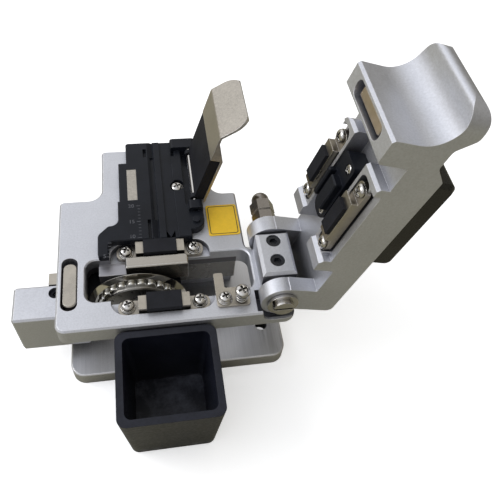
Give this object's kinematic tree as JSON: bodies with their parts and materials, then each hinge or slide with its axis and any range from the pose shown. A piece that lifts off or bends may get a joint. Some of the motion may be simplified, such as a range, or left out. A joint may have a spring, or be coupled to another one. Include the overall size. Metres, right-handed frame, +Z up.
{
  "type": "fibre cleaver",
  "caption": "Bench tool that clamps, scores and cleaves an optical fibre: hinged arm, sliding round blade, flip lever over a V-groove and a bin for the ends.",
  "frame": {"origin": "underside of the base plate, below the point where the fibre line crosses the plane of the blade", "axes": "+X towards the arm hinge, +Y along the fibre to the back, +Z up"},
  "size_m": [0.0905, 0.0773, 0.0832],
  "materials": {
    "silver_anodised": "bead-blasted satin",
    "silver_brushed": "brushed",
    "black_anodised": "matte black",
    "nickel": "satin nickel plate",
    "sheet_steel": "satin sheet",
    "bright_steel": "polished",
    "blade_steel": "ground",
    "black_rubber": "matte",
    "black_plastic": "fine matte",
    "yellow_label": "satin film"
  },
  "bodies": {
    "frame": {"base_plate": "silver_brushed", "support_block": "silver_anodised", "hinge_post": "silver_anodised", "body_deck": "silver_anodised", "deck_magnet": "nickel", "hinge_shaft": "bright_steel", "hinge_set_screws": "bright_steel", "front_washer": "bright_steel", "nut_washer": "bright_steel", "lock_nut": "nickel", "dome_nut": "nickel", "lower_holder_front": "nickel", "lower_pad_front": "black_rubber", "lower_holder_rear": "nickel", "lower_pad_rear": "black_rubber", "lower_screws": "bright_steel", "lower_washers": "bright_steel", "clamp_bar": "bright_steel", "side_block": "sheet_steel", "guide_rail": "bright_steel", "fibre_adapter": "black_anodised", "adapter_insert": "sheet_steel", "adapter_screw": "bright_steel", "stop_pin": "black_anodised", "lever_pin": "bright_steel", "pawl_bracket": "nickel", "bracket_washer": "bright_steel", "bracket_screw": "bright_steel", "spring_screw": "bright_steel", "pawl_spring": "bright_steel", "label_plate": "yellow_label"},
    "arm": {"arm_body": "silver_anodised", "arm_magnet": "nickel", "arm_cover": "black_plastic", "upper_screws": "bright_steel", "anvil": "black_anodised", "anvil_screws": "bright_steel"},
    "clamp_front": {"upper_holder_front": "nickel", "upper_pad_front": "black_rubber"},
    "clamp_rear": {"upper_holder_rear": "nickel", "upper_pad_rear": "black_rubber"},
    "slide": {"thumb_bar": "silver_anodised", "thumb_screw": "black_anodised", "slide_tab": "nickel", "carriage": "black_anodised", "wheel_axle": "bright_steel"},
    "wheel": {"blade_wheel": "blade_steel", "ratchet_ring": "sheet_steel", "number_disc": "nickel"},
    "lever": {"lever_pad": "black_rubber", "lever_sheet": "sheet_steel"},
    "bin": {"scrap_bin": "black_plastic"}
  },
  "joints": [
    {"name": "arm_hinge", "type": "hinge", "parent": "frame", "child": "arm", "pos_m": [0.0265, 0, 0.0288], "axis": [0, 1, 0], "range_deg": [-105.5, 0]},
    {"name": "clamp_front_spring", "type": "slide", "parent": "arm", "child": "clamp_front", "axis": [0.9636, 0, -0.2672], "range_m": [0, 0.0008], "stiffness_N_per_m": 400, "springref_m": -0.001},
    {"name": "clamp_rear_spring", "type": "slide", "parent": "arm", "child": "clamp_rear", "axis": [0.9636, 0, -0.2672], "range_m": [0, 0.0008], "stiffness_N_per_m": 400, "springref_m": -0.001},
    {"name": "slide_push", "type": "slide", "parent": "frame", "child": "slide", "axis": [1, 0, 0], "range_m": [0, 0.012]},
    {"name": "wheel_turn", "type": "hinge", "parent": "slide", "child": "wheel", "pos_m": [-0.0061, 0, 0.01695], "axis": [0, 1, 0], "continuous": true},
    {"name": "lever_flip", "type": "hinge", "parent": "frame", "child": "lever", "pos_m": [0.0097, 0.029, 0.0293], "axis": [0, 1, 0], "range_deg": [-105.7, 0]},
    {"name": "bin_pull", "type": "slide", "parent": "frame", "child": "bin", "axis": [0, -1, 0], "range_m": [0, 0.03]}
  ]
}
